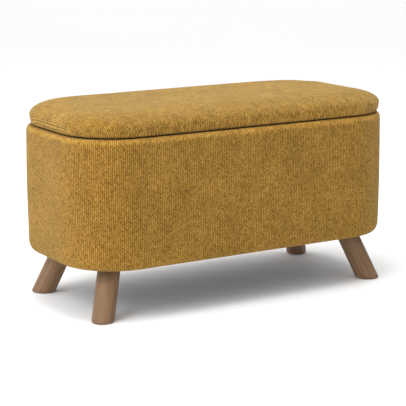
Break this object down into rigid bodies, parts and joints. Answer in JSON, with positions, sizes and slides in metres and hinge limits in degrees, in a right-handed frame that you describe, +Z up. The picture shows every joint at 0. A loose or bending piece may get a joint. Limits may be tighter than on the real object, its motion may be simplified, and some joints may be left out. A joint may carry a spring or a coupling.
{
  "type": "storage ottoman",
  "caption": "Upholstered oblong storage ottoman on splayed round wooden legs, with a padded lid hinged along the back and stopped open by slotted stays.",
  "frame": {"origin": "centre of the footprint on the floor, midway between the ends and between the front and the rear of the box", "axes": "+Z up, +X along the length towards the right-hand end, -Y towards the front, +Y towards the hinged rear"},
  "size_m": [0.8, 0.38, 0.4418],
  "materials": {
    "plywood": "matte",
    "fibreboard": "matte",
    "zinc_screws": "satin",
    "wadding": "matte",
    "seat_foam": "matte",
    "box_chenille": "matte",
    "lid_chenille": "matte",
    "black_lining": "matte",
    "black_nonwoven": "matte",
    "washed_oak": "satin",
    "glide_plastic": "matte",
    "bumper_rubber": "matte",
    "hinge_steel": "satin",
    "stay_steel": "satin"
  },
  "bodies": {
    "carcass": {"base_board": "plywood", "front_panel": "fibreboard", "rear_panel": "fibreboard", "left_end_panel": "fibreboard", "right_end_panel": "fibreboard", "joint_battens": "plywood", "stay_posts": "plywood", "front_rail": "plywood", "rear_rail": "plywood", "left_end_rail": "plywood", "right_end_rail": "plywood", "base_screws": "zinc_screws", "rim_screws": "zinc_screws", "body_foam": "wadding", "body_cover": "box_chenille", "inner_lining": "black_lining", "dust_cover": "black_nonwoven", "leg_front_left": "washed_oak", "leg_front_right": "washed_oak", "leg_rear_left": "washed_oak", "leg_rear_right": "washed_oak", "leg_bolts": "zinc_screws", "tee_nuts": "zinc_screws", "leg_glides": "glide_plastic", "lid_bumpers": "bumper_rubber", "left_hinge_box_leaf": "hinge_steel", "right_hinge_box_leaf": "hinge_steel", "hinge_pins": "zinc_screws", "box_hinge_screws": "zinc_screws", "left_wall_bracket": "stay_steel", "right_wall_bracket": "stay_steel", "stay_studs": "zinc_screws", "wall_bracket_screws": "zinc_screws"},
    "lid": {"lid_board": "plywood", "lid_foam": "seat_foam", "lid_cover": "lid_chenille", "lid_backing": "black_nonwoven", "left_hinge_lid_leaf": "hinge_steel", "right_hinge_lid_leaf": "hinge_steel", "lid_hinge_screws": "zinc_screws", "left_lid_bracket": "stay_steel", "right_lid_bracket": "stay_steel", "lid_bracket_screws": "zinc_screws", "stay_rivets": "zinc_screws"},
    "left_stay": {"left_stay_arm": "stay_steel"},
    "right_stay": {"right_stay_arm": "stay_steel"}
  },
  "joints": [
    {"name": "lid_hinge", "type": "hinge", "parent": "carcass", "child": "lid", "pos_m": [0, 0.186, 0.3839], "axis": [-1, 0, 0], "range_deg": [0, 95]},
    {"name": "left_stay_pivot", "type": "hinge", "parent": "lid", "child": "left_stay", "pos_m": [-0.347, 0.04646, 0.3725], "axis": [-1, 0, 0], "range_deg": [-48, 0]},
    {"name": "right_stay_pivot", "type": "hinge", "parent": "lid", "child": "right_stay", "pos_m": [0.347, 0.04646, 0.3725], "axis": [-1, 0, 0], "range_deg": [-48, 0]}
  ],
  "couplings": [
    {"joint": "left_stay_pivot", "follows": "lid_hinge", "ratio": -0.5},
    {"joint": "right_stay_pivot", "follows": "lid_hinge", "ratio": -0.5}
  ]
}
